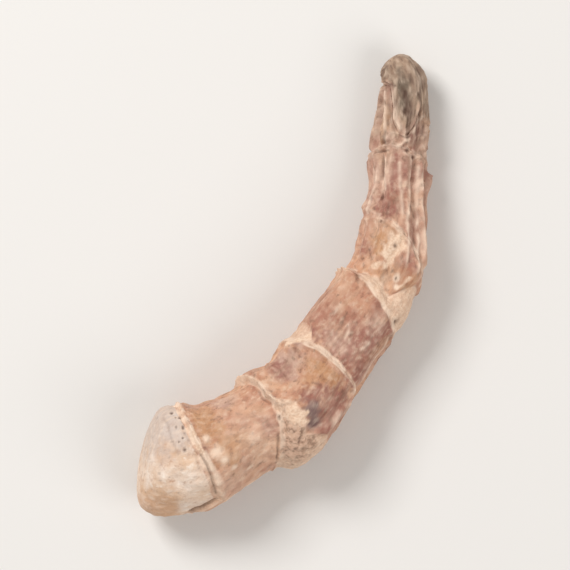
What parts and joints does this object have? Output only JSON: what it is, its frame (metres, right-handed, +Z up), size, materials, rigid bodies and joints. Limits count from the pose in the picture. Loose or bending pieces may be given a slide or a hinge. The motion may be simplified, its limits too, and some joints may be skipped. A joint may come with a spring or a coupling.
{
  "type": "dried sweet flag root",
  "caption": "Dried sweet flag root: a bent, ringed rhizome that narrows from a pale cut end to a rounded tip, with leaf scars, wrinkled bark and rootlet stubs.",
  "frame": {"origin": "middle of the bounding box, on the surface that the root lies on", "axes": "+Z up; +Y along the longest side of the bounding box, towards the tip; +X towards the outer side of the bend, so the cut end points to -X and -Y"},
  "size_m": [0.053, 0.0828, 0.0171],
  "materials": {
    "dried_rhizome": "matt, wrinkled"
  },
  "bodies": {
    "root": {"rhizome": "dried_rhizome"}
  },
  "joints": []
}
